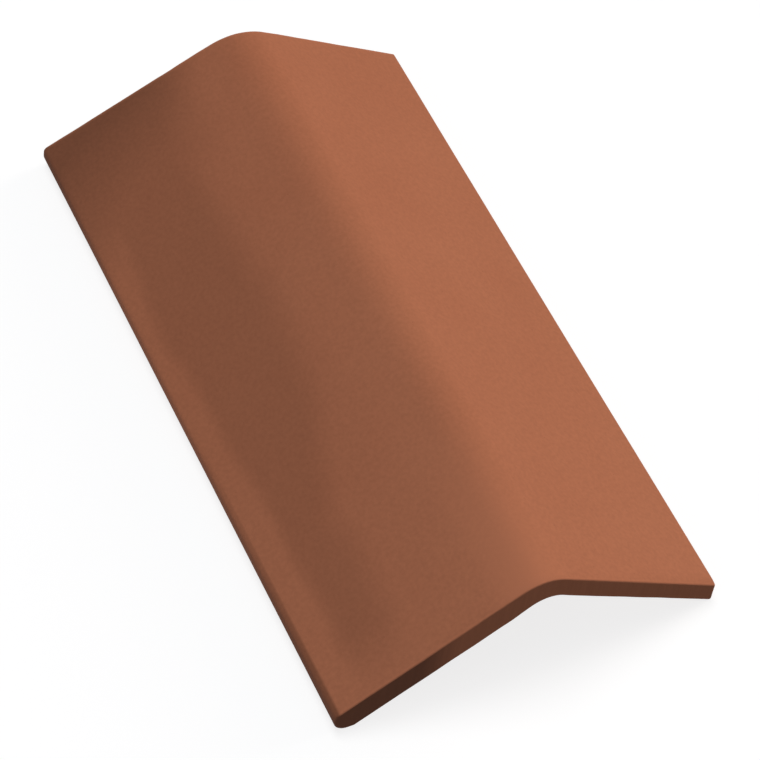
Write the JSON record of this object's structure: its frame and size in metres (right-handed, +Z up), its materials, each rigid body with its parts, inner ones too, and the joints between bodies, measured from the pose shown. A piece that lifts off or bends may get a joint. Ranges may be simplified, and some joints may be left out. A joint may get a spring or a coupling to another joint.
{
  "type": "ridge tile",
  "caption": "Angular clay ridge tile: flat wings fall away from a rounded apex, with plumb eaves and square ends. Laid along a roof's ridge, it caps the joint between the slopes.",
  "frame": {"origin": "on the ground under the middle of the tile, where it stands on the lower edges of its two eaves", "axes": "+Y along the ridge, +Z up through the apex, +X across to the right-hand eave"},
  "size_m": [0.25, 0.45, 0.0816],
  "materials": {
    "fired_clay": "unglazed, smooth from the die, matt"
  },
  "bodies": {
    "root": {"ridge_tile": "fired_clay"}
  },
  "joints": []
}
